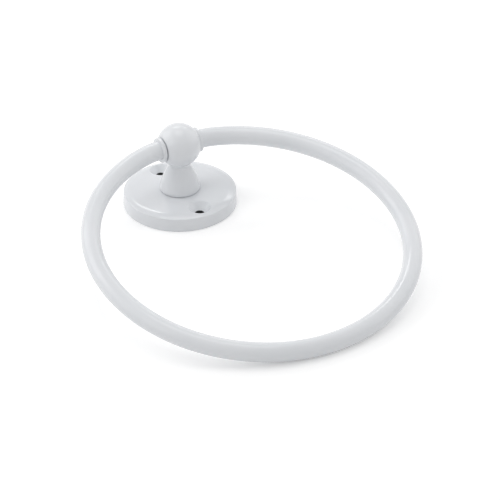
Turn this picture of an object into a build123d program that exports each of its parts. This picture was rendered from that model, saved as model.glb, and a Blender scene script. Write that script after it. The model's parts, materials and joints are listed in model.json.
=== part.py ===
"""Towel ring: a swinging loop of round tube, held by a ball-headed post on a round wall plate.

The plate's back lies on z = 0 and the post stands along +Z. The loop turns about the X axis through the
middle of the ball, and rests with its far side on the plane of the plate's back.
"""

import os
from math import asin, atan2, cos, degrees, radians, sin, sqrt, tan

from build123d import *

os.makedirs("parts", exist_ok=True)

# Wall plate
plate_dia = 55.0
plate_side_height = 6.6
plate_draft = 2.5
plate_edge_round = 0.3
plate_foot_round = 0.4
shoulder_width = 4.0
shoulder_height = 1.05
plate_crown = 0.3
recess_depth = 3.2
recess_wall = 2.3
recess_corner = 0.8

# Countersunk holes for the wall screws, one each side of the post, in line with the hanging loop
screw_hole_spacing = 40.0
screw_hole_dia = 4.2
sink_dia = 11.0
sink_angle = 90.0
sink_lip_rise = 12.0
sink_edge_round = 0.8
screw_boss_dia = 8.4

# Post
pivot_height = 32.0
ball_dia = 21.2
neck_dia = 10.8
neck_land = 1.0
neck_round = 1.5
bell_top_reach = 0.6
bell_bulge_radius = 45.0
foot_dia = 19.6
foot_side_height = 0.7
foot_shoulder_reach = 0.35
foot_edge_round = 0.9
tenon_dia = 7.2
tenon_flat_width = 6.0
tenon_shortfall = 0.4

# Machine screw that holds the post to the plate
post_screw_dia = 4.0
post_screw_length = 12.0
post_screw_head_dia = 9.4
post_screw_head_height = 2.4
post_screw_head_edge = 0.7
drive_width = 4.4
drive_slot = 1.1
drive_depth = 1.3
tapped_run_out = 2.0

# Loop
loop_radius = 75.0
tube_dia = 9.0
tube_wall = 1.2
end_bend_radius = 26.0
end_gap = 4.0

# Collars on the loop's ends
collar_dia = 12.0
collar_length = 1.6
collar_edge_round = 0.3
collar_to_bend = 0.6

# Clearances; the loop rests slid to the left within the play of its collars
running_clearance = 0.05
seat_clearance = 0.02
tenon_clearance = 0.05
collar_gap = 0.35
loop_slide = 0.25
land_margin = 0.15

plate_radius = plate_dia / 2
ball_radius = ball_dia / 2
neck_radius = neck_dia / 2
foot_radius = foot_dia / 2
tube_radius = tube_dia / 2
collar_radius = collar_dia / 2

# The plate's face is part of a large sphere, from its rounded shoulder up to the flat seat of the post
face_edge_height = plate_side_height + shoulder_height
seat_height = face_edge_height + plate_crown
seat_radius = foot_radius + land_margin
side_top_radius = plate_radius - plate_side_height * tan(radians(plate_draft))
face_edge_radius = side_top_radius - shoulder_width
face_centre = (face_edge_height**2 - seat_height**2 + face_edge_radius**2 - seat_radius**2) / (
    2 * (face_edge_height - seat_height)
)
face_radius = sqrt(face_edge_radius**2 + (face_edge_height - face_centre) ** 2)
screw_hole_y = screw_hole_spacing / 2
screw_hole_radius = screw_hole_dia / 2

# The countersink's cone has the stated diameter where it meets the plate's face, and a shallow lip above
face_at_hole = face_centre + sqrt(face_radius**2 - screw_hole_y**2)
sink_radius = sink_dia / 2
sink_bottom = face_at_hole - (sink_radius - screw_hole_radius) / tan(radians(sink_angle / 2))
sink_lip_radius = sink_radius + (seat_height - face_at_hole) / tan(radians(sink_lip_rise))

# The ball is cut flat on both sides, just wide enough for the collars
land_radius = collar_radius + land_margin
land_x = sqrt(ball_radius**2 - land_radius**2)
foot_top_height = seat_height + foot_edge_round + foot_side_height
tenon_bottom = recess_depth + tenon_shortfall

# The neck is as long as the round under the ball and the land below it
neck_joint_height = pivot_height - sqrt(ball_radius**2 - neck_radius**2)
neck_round_bottom = pivot_height - sqrt((ball_radius + neck_round) ** 2 - (neck_radius + neck_round) ** 2)
bell_top_height = neck_round_bottom - neck_land

# The bell's rounds reach a stated way along the neck and the foot's side, whatever its slope
bell_rise = bell_top_height - foot_top_height
bell_inset = foot_radius - neck_radius
bell_half_turn = asin(sqrt(bell_rise**2 + bell_inset**2) / (2 * bell_bulge_radius))
bell_slope = atan2(bell_inset, bell_rise)
bell_top_round = bell_top_reach / tan((bell_slope + bell_half_turn) / 2)
foot_shoulder_round = foot_shoulder_reach / tan((bell_slope - bell_half_turn) / 2)

# The loop's straight ends run past the collars, then bend into the large circle
collar_inner_x = land_x + collar_gap
collar_outer_x = collar_inner_x + collar_length
end_straight_x = collar_outer_x + collar_to_bend
bend_offset = sqrt((loop_radius - end_bend_radius) ** 2 - end_straight_x**2)
loop_reach = end_bend_radius + bend_offset
bend_angle = degrees(asin(end_straight_x / (loop_radius - end_bend_radius)))

# The loop leans until the underside of its far side meets the plane of the plate's back
loop_tilt = asin((pivot_height - tube_radius) / (loop_reach + loop_radius))
loop_plane = Plane(
    origin=(-loop_slide, 0, pivot_height), x_dir=(1, 0, 0), z_dir=(0, sin(loop_tilt), -cos(loop_tilt))
)


def corner(sketch, across, up):
    """The sketch's vertex nearest to a point of its own plane."""
    return sketch.vertices().sort_by_distance((across, up))[0]


# Wall plate: one revolved section, two countersunk holes in bosses that reach the wall, and the post's seat
with BuildPart() as wall_plate:
    with BuildSketch(Plane.XZ) as plate_section:
        with BuildLine():
            recess_radius = plate_radius - recess_wall
            Polyline(
                (0, seat_height),
                (0, recess_depth),
                (recess_radius, recess_depth),
                (recess_radius, 0),
                (plate_radius, 0),
                (side_top_radius, plate_side_height),
            )
            TangentArc(
                (face_edge_radius, face_edge_height),
                (side_top_radius, plate_side_height),
                tangent=(face_edge_height - face_centre, -face_edge_radius),
            )
            RadiusArc((face_edge_radius, face_edge_height), (seat_radius, seat_height), -face_radius)
            Line((seat_radius, seat_height), (0, seat_height))
        make_face()
        fillet(corner(plate_section, side_top_radius, plate_side_height), plate_edge_round)
        fillet(corner(plate_section, plate_radius, 0), plate_foot_round)
        fillet(corner(plate_section, recess_radius, recess_depth), recess_corner)
    revolve(axis=Axis.Z)
    for hole_y in (screw_hole_y, -screw_hole_y):
        with BuildSketch():
            with Locations((0, hole_y)):
                Circle(screw_boss_dia / 2)
        extrude(amount=recess_depth, taper=-plate_draft)
        with BuildSketch(Plane.XZ.offset(-hole_y)) as hole_section:
            with BuildLine():
                Polyline(
                    (0, 0),
                    (screw_hole_radius, 0),
                    (screw_hole_radius, sink_bottom),
                    (sink_radius, face_at_hole),
                    (sink_lip_radius, seat_height),
                    (0, seat_height),
                    close=True,
                )
            make_face()
            fillet(corner(hole_section, sink_radius, face_at_hole), sink_edge_round)
        revolve(axis=Axis((0, hole_y, 0), (0, 0, 1)), mode=Mode.SUBTRACT)
    with BuildSketch(Plane.XY.offset(recess_depth)):
        Circle(tenon_dia / 2 + tenon_clearance)
        Rectangle(tenon_dia * 2, tenon_flat_width + 2 * tenon_clearance, mode=Mode.INTERSECT)
    extrude(amount=seat_height - recess_depth, mode=Mode.SUBTRACT)

wall_plate.part.label = "wall_plate"
export_step(wall_plate.part, "parts/wall_plate.step")

# Post: one revolved section for foot, bell, neck and ball, then the tenon, the flats and the bores
with BuildPart() as post:
    with BuildSketch(Plane.XZ) as post_section:
        with BuildLine():
            Polyline(
                (0, pivot_height + ball_radius),
                (0, seat_height),
                (foot_radius, seat_height),
                (foot_radius, foot_top_height),
            )
            RadiusArc((foot_radius, foot_top_height), (neck_radius, bell_top_height), -bell_bulge_radius)
            Line((neck_radius, bell_top_height), (neck_radius, neck_joint_height))
            ThreePointArc(
                (neck_radius, neck_joint_height),
                (ball_radius, pivot_height),
                (0, pivot_height + ball_radius),
            )
        make_face()
        fillet(corner(post_section, foot_radius, seat_height), foot_edge_round)
        fillet(corner(post_section, foot_radius, foot_top_height), foot_shoulder_round)
        fillet(corner(post_section, neck_radius, bell_top_height), bell_top_round)
        fillet(corner(post_section, neck_radius, neck_joint_height), neck_round)
    revolve(axis=Axis.Z)
    with BuildSketch(Plane.XY.offset(tenon_bottom)):
        Circle(tenon_dia / 2)
        Rectangle(tenon_dia * 2, tenon_flat_width, mode=Mode.INTERSECT)
    extrude(amount=seat_height - tenon_bottom)
    for side in (1, -1):
        with BuildSketch(Plane(origin=(side * land_x, 0, pivot_height), z_dir=(side, 0, 0))):
            Circle(ball_radius)
        extrude(amount=ball_radius, mode=Mode.SUBTRACT)
    with BuildSketch(Plane.YZ):
        with Locations((0, pivot_height)):
            Circle(tube_radius + running_clearance)
    extrude(amount=ball_radius, both=True, mode=Mode.SUBTRACT)
    with BuildSketch(Plane.XY.offset(tenon_bottom)):
        Circle(post_screw_dia / 2 + seat_clearance)
    extrude(amount=recess_depth + post_screw_length + tapped_run_out - tenon_bottom, mode=Mode.SUBTRACT)

post.part.label = "post"
export_step(post.part, "parts/post.step")

# Screw: low domed head in the plate's recess, shank up into the post
with BuildPart() as post_screw:
    head_bottom = recess_depth - post_screw_head_height
    head_radius = post_screw_head_dia / 2
    with BuildSketch(Plane.XZ):
        with BuildLine():
            Polyline(
                (0, head_bottom),
                (0, recess_depth + post_screw_length),
                (post_screw_dia / 2, recess_depth + post_screw_length),
                (post_screw_dia / 2, recess_depth),
                (head_radius, recess_depth),
                (head_radius, recess_depth - post_screw_head_edge),
            )
            TangentArc((0, head_bottom), (head_radius, recess_depth - post_screw_head_edge), tangent=(1, 0))
        make_face()
    revolve(axis=Axis.Z)
    with BuildSketch(Plane.XY.offset(head_bottom)):
        Rectangle(drive_width, drive_slot)
        Rectangle(drive_slot, drive_width)
    extrude(amount=drive_depth, mode=Mode.SUBTRACT)

post_screw.part.label = "post_screw"
export_step(post_screw.part, "parts/post_screw.step")

# Loop: round tube swept along straight ends, end bends and the large circle, all tangent
with BuildPart() as ring:
    with BuildLine(loop_plane) as loop_path:
        Line((end_gap / 2, 0), (end_straight_x, 0))
        CenterArc((end_straight_x, end_bend_radius), end_bend_radius, -90, bend_angle)
        CenterArc((0, loop_reach), loop_radius, bend_angle - 90, 360 - 2 * bend_angle)
        CenterArc((-end_straight_x, end_bend_radius), end_bend_radius, -90 - bend_angle, bend_angle)
        Line((-end_straight_x, 0), (-end_gap / 2, 0))
    with BuildSketch(Plane(origin=(end_gap / 2 - loop_slide, 0, pivot_height), z_dir=(1, 0, 0))):
        Circle(tube_radius)
        Circle(tube_radius - tube_wall, mode=Mode.SUBTRACT)
    sweep(path=loop_path.wire())

ring.part.label = "ring"
export_step(ring.part, "parts/ring.step")


def collar(side):
    """A flat collar on the left (-1) or right (1) end of the loop."""
    inner_x = side * collar_inner_x - loop_slide
    outer_x = side * collar_outer_x - loop_slide
    bore_height = pivot_height + tube_radius + seat_clearance
    rim_height = pivot_height + collar_radius
    with BuildPart() as turned:
        with BuildSketch(Plane.XZ) as collar_section:
            with BuildLine():
                Polyline(
                    (inner_x, bore_height),
                    (inner_x, rim_height),
                    (outer_x, rim_height),
                    (outer_x, bore_height),
                    close=True,
                )
            make_face()
            fillet(corner(collar_section, inner_x, rim_height), collar_edge_round)
            fillet(corner(collar_section, outer_x, rim_height), collar_edge_round)
        revolve(axis=Axis((0, 0, pivot_height), (1, 0, 0)))
    return turned.part


for name, side in (("left_collar", -1), ("right_collar", 1)):
    turned_collar = collar(side)
    turned_collar.label = name
    export_step(turned_collar, f"parts/{name}.step")

print(f"loop tilt {degrees(loop_tilt):.3f} deg, reach {loop_reach:.3f}, flats at x {land_x:.3f}")
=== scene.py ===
"""Finishes and studio stage for the towel ring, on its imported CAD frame."""

import json
from math import cos, pi, radians, sin
from typing import NamedTuple

import bpy
from mathutils import Matrix, Vector


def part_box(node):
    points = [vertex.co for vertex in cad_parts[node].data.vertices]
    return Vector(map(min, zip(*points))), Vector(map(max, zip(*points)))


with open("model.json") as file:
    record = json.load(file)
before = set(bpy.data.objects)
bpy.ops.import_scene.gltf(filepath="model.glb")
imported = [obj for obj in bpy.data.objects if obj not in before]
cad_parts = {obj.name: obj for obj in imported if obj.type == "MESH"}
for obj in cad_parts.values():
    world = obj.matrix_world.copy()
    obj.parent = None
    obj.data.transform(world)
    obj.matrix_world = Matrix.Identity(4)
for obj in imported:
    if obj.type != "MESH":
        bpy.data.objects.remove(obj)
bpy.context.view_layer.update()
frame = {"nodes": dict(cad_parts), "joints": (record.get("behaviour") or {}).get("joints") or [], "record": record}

bl_info = {
    "name": "Towel ring finishes",
    "version": (1, 0, 0),
    "blender": (4, 5, 0),
    "location": "3D View > Sidebar > Towel ring",
    "description": "White enamel, bare casting and plated screw for a towel ring, with a studio stage",
    "category": "Material",
}

MM = 0.001
WHITE = (1.0, 1.0, 1.0, 1.0)

# Sizes that the finishes follow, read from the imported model
bolts = frame["record"]["mounts"][0]["dims"]
HOLE_Y = bolts["spacing_y_mm"] * MM / 2
HOLE_RADIUS = bolts["hole_r_mm"] * MM
PIVOT_HEIGHT = frame["joints"][0]["pos_m"][2]
PLATE_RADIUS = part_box("wall_plate")[1].x
PLATE_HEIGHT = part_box("wall_plate")[1].z

# Where the enamel ends (round the post's cross bore, inside the plate's rim and on its back), and where painted
# shade starts inside the screw holes
BORE_LIP = 4.6 * MM
RIM_WIDTH = 1.0 * MM
BACK_HEIGHT = 3.8 * MM
HOLE_LIP = 0.05 * MM
SPRAY_EDGE = 0.15 * MM

# Ejector pin marks in the plate's recess
PIN_PLACE = 12.0 * MM
PIN_RADIUS = 2.35 * MM
PIN_DEPTH = 0.12 * MM

# Noise scales, in patches to the metre, the flow marks' along X, Y and Z
CLOUD_SCALE = 38.0
SMEAR_SCALE = 150.0
STAIN_SCALE = 160.0
FLOW_SCALE = (90.0, 420.0, 200.0)
SPRAY_SCALE = 350.0
TARNISH_SCALE = 420.0

# Noise values between which a patch fades in
CLOUD_LIMITS = (0.35, 0.75)
STAIN_LIMITS = (0.16, 0.36)
TARNISH_LIMITS = (0.42, 0.62)

# Lowest and highest roughness, the enamel's as shares of its setting
GLOSS_SHARES = (0.75, 1.25)
CASTING_ROUGHNESS = (0.38, 0.68)
PLATING_ROUGHNESS = (0.26, 0.44)

ENAMEL_IOR = 1.5

# Radians that a wave texture of scale 1 turns by over one metre
WAVE_ANGLE = 20.0

# Places of the two inputs and of the result among a Mix node's sockets
MIX_SOCKETS = {"FLOAT": (2, 3, 0), "RGBA": (6, 7, 2)}

# Spacing of the nodes on a material's sheet
COLUMN_WIDTH = 210
ROW_HEIGHT = 190

# Width in millimetres of the frame that the camera's lens is stated for
SENSOR_WIDTH = 36.0

# What properties of one kind share
COLOUR = {"subtype": "COLOR", "size": 4, "min": 0.0, "max": 1.0}
LENGTH = {"subtype": "DISTANCE", "unit": "LENGTH"}
FACTOR = {"subtype": "FACTOR", "min": 0.0, "max": 1.0}
POWER = {"unit": "POWER", "min": 0.0}


class Softbox(NamedTuple):
    """Place and size of a softbox, in degrees and metres, and the stage setting with its power."""

    azimuth: float
    elevation: float
    distance: float
    width: float
    height: float
    power: str


# The softboxes point at one place, and their azimuths count from +Y towards +X
LAMP_AIM = Vector((0.0, 0.0, 0.008))
SOFTBOXES = {
    "left_softbox": Softbox(-75.0, 35.0, 1.2, 1.5, 1.1, "left_power"),
    "right_softbox": Softbox(100.0, 32.0, 1.2, 1.5, 1.1, "right_power"),
    "far_softbox": Softbox(-35.0, 32.0, 1.3, 0.9, 0.9, "far_power"),
    "top_softbox": Softbox(29.0, 84.0, 1.3, 0.7, 0.7, "top_power"),
    "front_softbox": Softbox(-151.0, 58.0, 1.3, 0.9, 0.8, "front_power"),
    "left_strip": Softbox(20.0, 42.5, 1.3, 0.45, 0.18, "left_strip_power"),
    "right_strip": Softbox(48.0, 37.0, 1.3, 0.38, 0.14, "right_strip_power"),
}


class EnamelSettings(bpy.types.PropertyGroup):
    """The white enamel on plate, post, ring and collars."""

    colour: bpy.props.FloatVectorProperty(
        name="Colour",
        description="Colour of the enamel",
        default=(0.785, 0.80, 0.825, 1.0),
        **COLOUR,
    )
    thin_colour: bpy.props.FloatVectorProperty(
        name="Thin colour",
        description="Colour of the enamel where the film is thinner",
        default=(0.758, 0.779, 0.806, 1.0),
        **COLOUR,
    )
    roughness: bpy.props.FloatProperty(
        name="Roughness",
        description="Middle roughness of the enamel's gloss",
        default=0.13,
        **FACTOR,
    )
    peel_size: bpy.props.FloatProperty(
        name="Peel size",
        description="Distance between the soft bumps that the enamel dries with",
        default=1.6 * MM,
        min=0.2 * MM,
        max=20.0 * MM,
        **LENGTH,
    )
    peel_depth: bpy.props.FloatProperty(
        name="Peel depth",
        description="Height of those bumps",
        default=0.006 * MM,
        min=0.0,
        max=1.0 * MM,
        precision=6,
        **LENGTH,
    )


class CastingSettings(bpy.types.PropertyGroup):
    """The bare cast zinc where the enamel doesn't reach."""

    colour: bpy.props.FloatVectorProperty(
        name="Colour",
        description="Colour of the bare casting",
        default=(0.36, 0.37, 0.385, 1.0),
        **COLOUR,
    )
    stain_colour: bpy.props.FloatVectorProperty(
        name="Stain colour",
        description="Colour of the duller patches on the bare casting",
        default=(0.22, 0.225, 0.23, 1.0),
        **COLOUR,
    )
    # Painted shade: a near-black colour that stands in for the shade deep inside the screw holes
    hole_shade_colour: bpy.props.FloatVectorProperty(
        name="Hole colour",
        description="Colour of the casting's dark skin inside the screw holes",
        default=(0.03, 0.03, 0.032, 1.0),
        **COLOUR,
    )
    grain_size: bpy.props.FloatProperty(
        name="Grain size",
        description="Size of the casting's grain",
        default=0.5 * MM,
        min=0.1 * MM,
        max=10.0 * MM,
        **LENGTH,
    )
    grain_depth: bpy.props.FloatProperty(
        name="Grain depth",
        description="Height of the casting's grain and flow marks",
        default=0.02 * MM,
        min=0.0,
        max=1.0 * MM,
        precision=6,
        **LENGTH,
    )
    overspray: bpy.props.FloatProperty(
        name="Overspray",
        description="How far the enamel fades in over the edge of the plate's back",
        default=1.6 * MM,
        min=0.0,
        max=10.0 * MM,
        **LENGTH,
    )


class ScrewSettings(bpy.types.PropertyGroup):
    """The plated screw that holds the post."""

    colour: bpy.props.FloatVectorProperty(
        name="Colour",
        description="Colour of the plating",
        default=(0.62, 0.63, 0.65, 1.0),
        **COLOUR,
    )
    tarnish_colour: bpy.props.FloatVectorProperty(
        name="Tarnish colour",
        description="Colour of the plating's duller patches",
        default=(0.50, 0.515, 0.56, 1.0),
        **COLOUR,
    )
    mark_spacing: bpy.props.FloatProperty(
        name="Mark spacing",
        description="Distance between the turning marks",
        default=0.16 * MM,
        min=0.02 * MM,
        max=2.0 * MM,
        **LENGTH,
    )
    mark_depth: bpy.props.FloatProperty(
        name="Mark depth",
        description="Depth of the turning marks",
        default=0.006 * MM,
        min=0.0,
        max=1.0 * MM,
        precision=6,
        **LENGTH,
    )


class StageSettings(bpy.types.PropertyGroup):
    """Camera, floor and lamps."""

    target: bpy.props.FloatVectorProperty(
        name="Target",
        description="Point in the middle of the picture",
        default=(0.008308, -0.054591, 0.0),
        size=3,
        subtype="TRANSLATION",
        unit="LENGTH",
    )
    distance: bpy.props.FloatProperty(
        name="Distance",
        description="From the camera to its target",
        default=1.512308,
        min=0.1,
        **LENGTH,
    )
    azimuth: bpy.props.FloatProperty(
        name="Azimuth",
        description="Turn of the camera round the object, from the ring's side",
        default=radians(-28.7526),
        subtype="ANGLE",
    )
    elevation: bpy.props.FloatProperty(
        name="Elevation",
        description="Angle of the camera over the floor",
        default=radians(32.7916),
        subtype="ANGLE",
    )
    roll: bpy.props.FloatProperty(
        name="Roll",
        description="Turn of the camera about its own line of sight",
        default=radians(-0.5151),
        subtype="ANGLE",
    )
    lens: bpy.props.FloatProperty(
        name="Lens",
        description="Focal length of the camera",
        default=230.4,
        min=1.0,
        subtype="DISTANCE_CAMERA",
        unit="CAMERA",
    )
    floor_size: bpy.props.FloatProperty(
        name="Floor size",
        description="Side of the square floor",
        default=6.0,
        min=0.5,
        **LENGTH,
    )
    floor_white: bpy.props.FloatProperty(
        name="Floor white",
        description="Share of the light on the floor that it reflects",
        default=0.92,
        **FACTOR,
    )
    floor_lift: bpy.props.FloatProperty(
        name="Floor lift",
        description="White that the floor adds for the camera and for reflections",
        default=0.23,
        **FACTOR,
    )
    room_light: bpy.props.FloatProperty(
        name="Room light",
        description="Even light from all round",
        default=0.5,
        min=0.0,
    )
    left_power: bpy.props.FloatProperty(
        name="Left softbox",
        description="Power of the softbox on the left",
        default=3.5,
        **POWER,
    )
    right_power: bpy.props.FloatProperty(
        name="Right softbox",
        description="Power of the softbox on the right",
        default=3.0,
        **POWER,
    )
    far_power: bpy.props.FloatProperty(
        name="Far softbox",
        description="Power of the softbox behind on the left",
        default=2.4,
        **POWER,
    )
    top_power: bpy.props.FloatProperty(
        name="Top softbox",
        description="Power of the softbox overhead",
        default=2.3,
        **POWER,
    )
    front_power: bpy.props.FloatProperty(
        name="Front softbox",
        description="Power of the softbox over the camera",
        default=0.6,
        **POWER,
    )
    left_strip_power: bpy.props.FloatProperty(
        name="Left strip",
        description="Power of the strip behind that the plate's shoulder mirrors on its left",
        default=0.95,
        **POWER,
    )
    right_strip_power: bpy.props.FloatProperty(
        name="Right strip",
        description="Power of the strip behind that the plate's shoulder mirrors on its right",
        default=0.42,
        **POWER,
    )


def add_node(tree, kind, spot, attributes=None, inputs=None):
    """A node at a column and row of the sheet, with its own settings and its input values or links."""
    node = tree.nodes.new(kind)
    column, row = spot
    node.location = (column * COLUMN_WIDTH, -row * ROW_HEIGHT)
    for name, value in (attributes or {}).items():
        setattr(node, name, value)
    for name, value in (inputs or {}).items():
        if isinstance(value, bpy.types.NodeSocket):
            tree.links.new(value, node.inputs[name])
        else:
            node.inputs[name].default_value = value
    return node


def add_math(tree, operation, spot, first, second=0.0):
    """A Math node's result."""
    node = add_node(tree, "ShaderNodeMath", spot, {"operation": operation}, {0: first, 1: second})
    return node.outputs[0]


def add_fade(tree, spot, value, start, end):
    """A soft step from 0 at start to 1 at end."""
    node = add_node(
        tree,
        "ShaderNodeMapRange",
        spot,
        {"interpolation_type": "SMOOTHSTEP", "clamp": True},
        {"Value": value, "From Min": start, "From Max": end, "To Min": 0.0, "To Max": 1.0},
    )
    return node.outputs["Result"]


def add_range(tree, spot, value, low, high):
    """A value from 0 to 1 stretched over another range."""
    node = add_node(
        tree,
        "ShaderNodeMapRange",
        spot,
        None,
        {"Value": value, "From Min": 0.0, "From Max": 1.0, "To Min": low, "To Max": high},
    )
    return node.outputs["Result"]


def add_noise(tree, spot, vector, scale, detail=2.0, roughness=0.5):
    """A noise texture's value."""
    node = add_node(
        tree,
        "ShaderNodeTexNoise",
        spot,
        None,
        {"Vector": vector, "Scale": scale, "Detail": detail, "Roughness": roughness},
    )
    return node.outputs[0]


def add_mix(tree, kind, spot, factor, first, second):
    """Two values or two colours mixed by a factor."""
    low, high, result = MIX_SOCKETS[kind]
    inputs = {0: factor, low: first, high: second}
    node = add_node(tree, "ShaderNodeMix", spot, {"data_type": kind}, inputs)
    return node.outputs[result]


def add_bump(tree, spot, height):
    """The normal of a surface with a height in metres on it."""
    node = add_node(tree, "ShaderNodeBump", spot, None, {"Height": height, "Distance": 1.0})
    return node.outputs["Normal"]


def add_shader(tree, output, inputs):
    """A Principled shader on the material's output."""
    shader = add_node(tree, "ShaderNodeBsdfPrincipled", (3, 0), None, inputs)
    tree.links.new(shader.outputs[0], output.inputs["Surface"])


def object_point(tree, spot):
    """The point on the surface in the object's own coordinates."""
    return add_node(tree, "ShaderNodeTexCoord", spot).outputs["Object"]


def split_point(tree, spot, point):
    """A point's coordinates by the names of their axes."""
    return add_node(tree, "ShaderNodeSeparateXYZ", spot, None, {0: point}).outputs


def flat_distance(tree, spot, first, second):
    """The distance that two coordinates give in their plane."""
    column, row = spot
    flat = add_node(tree, "ShaderNodeCombineXYZ", (column, row), None, {0: first, 1: second}).outputs[0]
    node = add_node(tree, "ShaderNodeVectorMath", (column + 1, row), {"operation": "LENGTH"}, {0: flat})
    return node.outputs["Value"]


def new_group(name, inputs):
    """An empty shader node group for a finish, with its inputs and its results by name."""
    group = bpy.data.node_groups.new(name, "ShaderNodeTree")
    outputs = {"Colour": "NodeSocketColor", "Roughness": "NodeSocketFloat", "Height": "NodeSocketFloat"}
    for side, sockets in (("INPUT", inputs), ("OUTPUT", outputs)):
        for socket_name, socket_type in sockets.items():
            group.interface.new_socket(name=socket_name, in_out=side, socket_type=socket_type)
    start = add_node(group, "NodeGroupInput", (-6, 0))
    end = add_node(group, "NodeGroupOutput", (6, 0))
    return group, start.outputs, end.inputs


def enamel_film_group():
    """Enamel as it dries: slight shade where the film is thin, uneven gloss, soft orange-peel bumps."""
    name = "Enamel film"
    if name in bpy.data.node_groups:
        return bpy.data.node_groups[name]
    group, given, result = new_group(
        name,
        {
            "Colour": "NodeSocketColor",
            "Thin colour": "NodeSocketColor",
            "Roughness": "NodeSocketFloat",
            "Peel size": "NodeSocketFloat",
        },
    )
    point = object_point(group, (-6, 2))
    cloud = add_noise(group, (-4, 0), point, CLOUD_SCALE, detail=3.0)
    thin = add_fade(group, (-2, 0), cloud, *CLOUD_LIMITS)
    colour = add_mix(group, "RGBA", (0, 0), thin, given["Colour"], given["Thin colour"])
    group.links.new(colour, result["Colour"])

    smear = add_noise(group, (-4, 2), point, SMEAR_SCALE)
    gloss = add_range(group, (-2, 2), smear, *GLOSS_SHARES)
    roughness = add_math(group, "MULTIPLY", (0, 2), given["Roughness"], gloss)
    group.links.new(roughness, result["Roughness"])

    per_metre = add_math(group, "DIVIDE", (-4, 4), 1.0, given["Peel size"])
    peel = add_noise(group, (-2, 4), point, per_metre, detail=1.0, roughness=0.4)
    group.links.new(peel, result["Height"])
    return group


def cast_zinc_group():
    """Bare casting: dull patches, flow marks and a fine grain."""
    name = "Cast zinc"
    if name in bpy.data.node_groups:
        return bpy.data.node_groups[name]
    group, given, result = new_group(
        name,
        {
            "Colour": "NodeSocketColor",
            "Stain colour": "NodeSocketColor",
            "Grain size": "NodeSocketFloat",
        },
    )
    point = object_point(group, (-6, 2))
    patch = add_noise(group, (-4, 0), point, STAIN_SCALE, detail=5.0, roughness=0.6)
    stretched = add_node(
        group, "ShaderNodeMapping", (-5, 1), None, {"Vector": point, "Scale": FLOW_SCALE}
    ).outputs[0]
    flow = add_noise(group, (-4, 1), stretched, 1.0, detail=4.0, roughness=0.55)
    clean = add_math(group, "MULTIPLY", (-2, 0), patch, flow)
    bright = add_fade(group, (-1, 0), clean, *STAIN_LIMITS)
    colour = add_mix(group, "RGBA", (1, 0), bright, given["Stain colour"], given["Colour"])
    group.links.new(colour, result["Colour"])

    roughness = add_range(group, (0, 2), flow, *CASTING_ROUGHNESS)
    group.links.new(roughness, result["Roughness"])

    per_metre = add_math(group, "DIVIDE", (-4, 4), 1.0, given["Grain size"])
    grain = add_noise(group, (-2, 4), point, per_metre, detail=3.0, roughness=0.6)
    height = add_math(group, "ADD", (0, 4), grain, flow)
    group.links.new(height, result["Height"])
    return group


def new_material(name):
    """An empty node material with its output node."""
    material = bpy.data.materials.new(name)
    material.use_nodes = True
    tree = material.node_tree
    tree.nodes.clear()
    output = add_node(tree, "ShaderNodeOutputMaterial", (5, 0))
    return material, tree, output


def add_enamel(tree, spot, enamel):
    """The enamel film's colour and roughness, and its height in metres."""
    film = add_node(
        tree,
        "ShaderNodeGroup",
        spot,
        {"node_tree": enamel_film_group()},
        {
            "Colour": enamel.colour,
            "Thin colour": enamel.thin_colour,
            "Roughness": enamel.roughness,
            "Peel size": enamel.peel_size,
        },
    ).outputs
    column, row = spot
    height = add_math(tree, "MULTIPLY", (column + 1, row), film["Height"], enamel.peel_depth)
    return film["Colour"], film["Roughness"], height


def add_casting(tree, spot, casting):
    """The bare casting's colour and roughness, and its height in metres."""
    zinc = add_node(
        tree,
        "ShaderNodeGroup",
        spot,
        {"node_tree": cast_zinc_group()},
        {
            "Colour": casting.colour,
            "Stain colour": casting.stain_colour,
            "Grain size": casting.grain_size,
        },
    ).outputs
    column, row = spot
    height = add_math(tree, "MULTIPLY", (column + 1, row), zinc["Height"], casting.grain_depth)
    return zinc["Colour"], zinc["Roughness"], height


def finish_part_bare(tree, output, bare, enamel, casting, marks=None, shadow=None):
    """Joins enamel and bare casting by a mask in one shader.

    Marks are a height in metres on the casting, and the last argument is a mask of where painted shade, a
    near-black colour, replaces the finish.
    """
    film_colour, film_roughness, film_height = add_enamel(tree, (-2, 0), enamel)
    zinc_colour, zinc_roughness, zinc_height = add_casting(tree, (-2, 3), casting)
    colour = add_mix(tree, "RGBA", (0, 0), bare, film_colour, zinc_colour)
    roughness = add_mix(tree, "FLOAT", (0, 1), bare, film_roughness, zinc_roughness)
    metallic = bare
    # Painted shade: where the last mask is set, a near-black colour stands in for shade, and the metal shine goes
    if shadow is not None:
        colour = add_mix(tree, "RGBA", (1, 0), shadow, colour, casting.hole_shade_colour)
        roughness = add_mix(tree, "FLOAT", (1, 1), shadow, roughness, zinc_roughness)
        clean = add_math(tree, "SUBTRACT", (0, 2), 1.0, shadow)
        metallic = add_math(tree, "MULTIPLY", (1, 2), bare, clean)
    if marks is not None:
        zinc_height = add_math(tree, "ADD", (0, 3), zinc_height, marks)
    height = add_mix(tree, "FLOAT", (1, 3), bare, film_height, zinc_height)
    add_shader(
        tree,
        output,
        {
            "Base Color": colour,
            "Metallic": metallic,
            "Roughness": roughness,
            "IOR": ENAMEL_IOR,
            "Normal": add_bump(tree, (2, 3), height),
        },
    )


def paint_node(name, material):
    """Gives a CAD node its finish."""
    node = frame["nodes"][name]
    node.data.materials.clear()
    node.data.materials.append(material)


class TOWELRING_OT_paint_loop(bpy.types.Operator):
    """Enamels the ring and its two collars"""

    bl_idname = "towelring.paint_loop"
    bl_label = "Paint ring and collars"

    def execute(self, context):
        material, tree, output = new_material("loop_enamel")
        colour, roughness, height = add_enamel(tree, (-1, 0), context.scene.towelring_enamel)
        add_shader(
            tree,
            output,
            {
                "Base Color": colour,
                "Roughness": roughness,
                "IOR": ENAMEL_IOR,
                "Normal": add_bump(tree, (1, 1), height),
            },
        )
        for name in ("ring", "left_collar", "right_collar"):
            paint_node(name, material)
        return {"FINISHED"}


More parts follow.
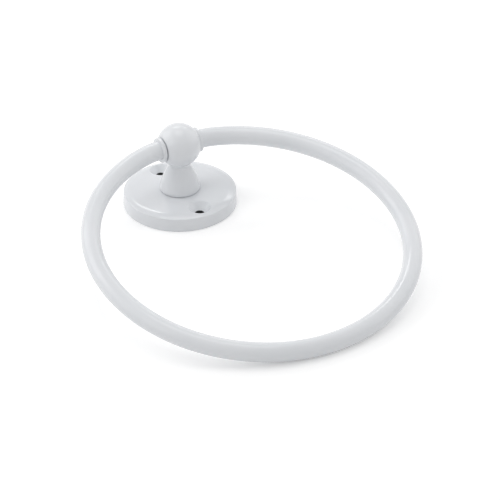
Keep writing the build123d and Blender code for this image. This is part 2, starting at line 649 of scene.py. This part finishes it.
class TOWELRING_OT_paint_post(bpy.types.Operator):
    """Enamels the post, and leaves its cross bore and its foot's underside bare"""

    bl_idname = "towelring.paint_post"
    bl_label = "Paint post"

    def execute(self, context):
        scene = context.scene
        material, tree, output = new_material("post_enamel")
        axes = split_point(tree, (-8, 0), object_point(tree, (-9, 0)))
        over_pivot = add_math(tree, "SUBTRACT", (-7, 1), axes["Z"], PIVOT_HEIGHT)
        from_pivot = flat_distance(tree, (-6, 1), axes["Y"], over_pivot)
        bore = add_fade(tree, (-4, 1), from_pivot, BORE_LIP + SPRAY_EDGE, BORE_LIP)
        under = add_fade(tree, (-4, 0), axes["Z"], PLATE_HEIGHT + SPRAY_EDGE, PLATE_HEIGHT)
        bare = add_math(tree, "MAXIMUM", (-3, 0), bore, under)
        finish_part_bare(tree, output, bare, scene.towelring_enamel, scene.towelring_casting)
        paint_node("post", material)
        return {"FINISHED"}


class TOWELRING_OT_paint_plate(bpy.types.Operator):
    """Enamels the wall plate, with a bare back and painted shade inside its screw holes"""

    bl_idname = "towelring.paint_plate"
    bl_label = "Paint wall plate"

    def execute(self, context):
        casting = context.scene.towelring_casting
        material, tree, output = new_material("plate_enamel")
        point = object_point(tree, (-10, 0))
        axes = split_point(tree, (-9, 0), point)
        mirrored_x = add_math(tree, "ABSOLUTE", (-8, 5), axes["X"])
        mirrored_y = add_math(tree, "ABSOLUTE", (-8, 4), axes["Y"])

        # The back is bare inside its rim, where the spray fades out in an uneven edge
        radius = flat_distance(tree, (-8, 0), axes["X"], axes["Y"])
        ragged = add_noise(tree, (-8, 2), point, SPRAY_SCALE, detail=4.0, roughness=0.6)
        shift = add_range(tree, (-7, 2), ragged, -casting.overspray, casting.overspray)
        ragged_radius = add_math(tree, "ADD", (-6, 1), radius, shift)
        rim = PLATE_RADIUS - RIM_WIDTH
        inside = add_fade(tree, (-5, 1), ragged_radius, rim, rim - casting.overspray)
        low = add_fade(tree, (-5, 2), axes["Z"], BACK_HEIGHT + SPRAY_EDGE, BACK_HEIGHT)
        back = add_math(tree, "MULTIPLY", (-4, 1), inside, low)

        # Painted shade: below their countersinks the screw holes get a near-black colour that stands in for the
        # shade inside them
        off_y = add_math(tree, "SUBTRACT", (-7, 4), mirrored_y, HOLE_Y)
        from_hole = flat_distance(tree, (-6, 4), axes["X"], off_y)
        hole_edge = HOLE_RADIUS + HOLE_LIP
        hole_shade_mask = add_fade(tree, (-4, 4), from_hole, hole_edge + SPRAY_EDGE, hole_edge)

        # Ejector pins leave four shallow round marks in the recess
        pin_x = add_math(tree, "SUBTRACT", (-7, 5), mirrored_x, PIN_PLACE)
        pin_y = add_math(tree, "SUBTRACT", (-7, 6), mirrored_y, PIN_PLACE)
        from_pin = flat_distance(tree, (-6, 5), pin_x, pin_y)
        pin_mark = add_fade(tree, (-4, 5), from_pin, PIN_RADIUS + SPRAY_EDGE, PIN_RADIUS)
        marks = add_math(tree, "MULTIPLY", (-3, 5), pin_mark, -PIN_DEPTH)
        finish_part_bare(tree, output, back, context.scene.towelring_enamel, casting, marks, hole_shade_mask)
        paint_node("wall_plate", material)
        return {"FINISHED"}


class TOWELRING_OT_finish_screw(bpy.types.Operator):
    """Gives the post's screw its zinc plating with turning marks"""

    bl_idname = "towelring.finish_screw"
    bl_label = "Finish post screw"

    def execute(self, context):
        screw = context.scene.towelring_screw
        material, tree, output = new_material("plated_screw")
        point = object_point(tree, (-5, 0))
        patch = add_noise(tree, (-3, 0), point, TARNISH_SCALE, detail=4.0, roughness=0.6)
        dull = add_fade(tree, (-2, 0), patch, *TARNISH_LIMITS)
        turned = add_node(
            tree,
            "ShaderNodeTexWave",
            (-3, 2),
            {"wave_type": "RINGS", "rings_direction": "Z"},
            {
                "Vector": point,
                "Scale": 2 * pi / (WAVE_ANGLE * screw.mark_spacing),
                "Distortion": 0.6,
                "Detail": 2.0,
                "Detail Scale": 2.0,
            },
        ).outputs[1]
        height = add_math(tree, "MULTIPLY", (-1, 2), turned, screw.mark_depth)
        add_shader(
            tree,
            output,
            {
                "Base Color": add_mix(tree, "RGBA", (0, 0), dull, screw.colour, screw.tarnish_colour),
                "Metallic": 1.0,
                "Roughness": add_range(tree, (0, 1), patch, *PLATING_ROUGHNESS),
                "Normal": add_bump(tree, (1, 2), height),
            },
        )
        paint_node("post_screw", material)
        return {"FINISHED"}


def add_softbox(name, softbox, power):
    """A rectangular lamp that points at the object."""
    turn, rise = radians(softbox.azimuth), radians(softbox.elevation)
    away = Vector((sin(turn) * cos(rise), cos(turn) * cos(rise), sin(rise)))
    bpy.ops.object.light_add(type="AREA", location=LAMP_AIM + away * softbox.distance)
    lamp = bpy.context.object
    lamp.name = name
    lamp.rotation_euler = (-away).to_track_quat("-Z", "Y").to_euler()
    lamp.data.shape = "RECTANGLE"
    lamp.data.size = softbox.width
    lamp.data.size_y = softbox.height
    lamp.data.energy = power


def seen_directly(tree, spot):
    """1 for rays of the camera and of reflections, 0 for light that falls on surfaces."""
    column, row = spot
    path = add_node(tree, "ShaderNodeLightPath", (column, row)).outputs
    glossy, through = path["Is Glossy Ray"], path["Is Transmission Ray"]
    mirrored = add_math(tree, "MAXIMUM", (column + 1, row), glossy, through)
    return add_math(tree, "MAXIMUM", (column + 2, row), path["Is Camera Ray"], mirrored)


class TOWELRING_OT_set_stage(bpy.types.Operator):
    """Adds the floor, the room's light, the softboxes and the camera"""

    bl_idname = "towelring.set_stage"
    bl_label = "Set stage"

    def execute(self, context):
        stage = context.scene.towelring_stage
        self.add_floor(stage)
        self.light_room(context, stage)
        for name, softbox in SOFTBOXES.items():
            add_softbox(name, softbox, getattr(stage, softbox.power))
        self.add_camera(context, stage)
        context.scene.view_settings.view_transform = "Standard"
        return {"FINISHED"}

    def add_floor(self, stage):
        bpy.ops.mesh.primitive_plane_add(size=stage.floor_size)
        floor = bpy.context.object
        floor.name = "floor"
        material, tree, output = new_material("white_floor")
        pale = (stage.floor_white, stage.floor_white, stage.floor_white, 1.0)
        matt = add_node(tree, "ShaderNodeBsdfDiffuse", (0, 0), None, {"Color": pale}).outputs[0]
        lift = add_math(tree, "MULTIPLY", (1, 1), seen_directly(tree, (-2, 1)), stage.floor_lift)
        glow = add_node(tree, "ShaderNodeEmission", (2, 1), None, {"Strength": lift}).outputs[0]
        both = add_node(tree, "ShaderNodeAddShader", (3, 0), None, {0: matt, 1: glow}).outputs[0]
        tree.links.new(both, output.inputs["Surface"])
        floor.data.materials.append(material)

    def light_room(self, context, stage):
        world = bpy.data.worlds.new("studio")
        context.scene.world = world
        world.use_nodes = True
        tree = world.node_tree
        tree.nodes.clear()
        kind = "ShaderNodeBackground"
        room = add_node(tree, kind, (1, 0), None, {"Color": WHITE, "Strength": stage.room_light})
        backdrop = add_node(tree, kind, (1, 1), None, {"Color": WHITE, "Strength": 1.0})
        both = add_node(
            tree,
            "ShaderNodeMixShader",
            (2, 0),
            None,
            {0: seen_directly(tree, (-2, 2)), 1: room.outputs[0], 2: backdrop.outputs[0]},
        )
        output = add_node(tree, "ShaderNodeOutputWorld", (3, 0))
        tree.links.new(both.outputs[0], output.inputs["Surface"])

    def add_camera(self, context, stage):
        azimuth, elevation = stage.azimuth, stage.elevation
        back = Vector((sin(azimuth) * cos(elevation), -cos(azimuth) * cos(elevation), sin(elevation)))
        right = Vector((cos(azimuth), sin(azimuth), 0.0))
        up = back.cross(right)
        turned_right = right * cos(stage.roll) + up * sin(stage.roll)
        turned_up = up * cos(stage.roll) - right * sin(stage.roll)
        bpy.ops.object.camera_add()
        camera = bpy.context.object
        camera.name = "camera"
        turn = Matrix((turned_right, turned_up, back)).transposed().to_4x4()
        camera.matrix_world = Matrix.Translation(Vector(stage.target) + back * stage.distance) @ turn
        camera.data.sensor_width = SENSOR_WIDTH
        camera.data.lens = stage.lens
        context.scene.camera = camera


class TOWELRING_PT_panel(bpy.types.Panel):
    """Finishes and stage of the towel ring"""

    bl_idname = "TOWELRING_PT_panel"
    bl_label = "Towel ring"
    bl_space_type = "VIEW_3D"
    bl_region_type = "UI"
    bl_category = "Towel ring"

    def draw(self, context):
        scene = context.scene
        for title, settings, operators in (
            ("Enamel", scene.towelring_enamel, ("paint_plate", "paint_post", "paint_loop")),
            ("Bare casting", scene.towelring_casting, ()),
            ("Screw", scene.towelring_screw, ("finish_screw",)),
            ("Stage", scene.towelring_stage, ("set_stage",)),
        ):
            box = self.layout.box()
            box.label(text=title)
            for name in settings.__annotations__:
                box.prop(settings, name)
            for name in operators:
                box.operator(f"towelring.{name}")


SETTINGS = {
    "towelring_enamel": EnamelSettings,
    "towelring_casting": CastingSettings,
    "towelring_screw": ScrewSettings,
    "towelring_stage": StageSettings,
}
TOOLS = (
    TOWELRING_OT_paint_plate,
    TOWELRING_OT_paint_post,
    TOWELRING_OT_paint_loop,
    TOWELRING_OT_finish_screw,
    TOWELRING_OT_set_stage,
    TOWELRING_PT_panel,
)


def register():
    for name, group in SETTINGS.items():
        bpy.utils.register_class(group)
        setattr(bpy.types.Scene, name, bpy.props.PointerProperty(type=group))
    for tool in TOOLS:
        bpy.utils.register_class(tool)


def unregister():
    for tool in reversed(TOOLS):
        bpy.utils.unregister_class(tool)
    for name, group in SETTINGS.items():
        delattr(bpy.types.Scene, name)
        bpy.utils.unregister_class(group)


def main():
    register()
    bpy.ops.towelring.paint_plate()
    bpy.ops.towelring.paint_post()
    bpy.ops.towelring.paint_loop()
    bpy.ops.towelring.finish_screw()
    bpy.ops.towelring.set_stage()


if __name__ == "__main__":
    main()
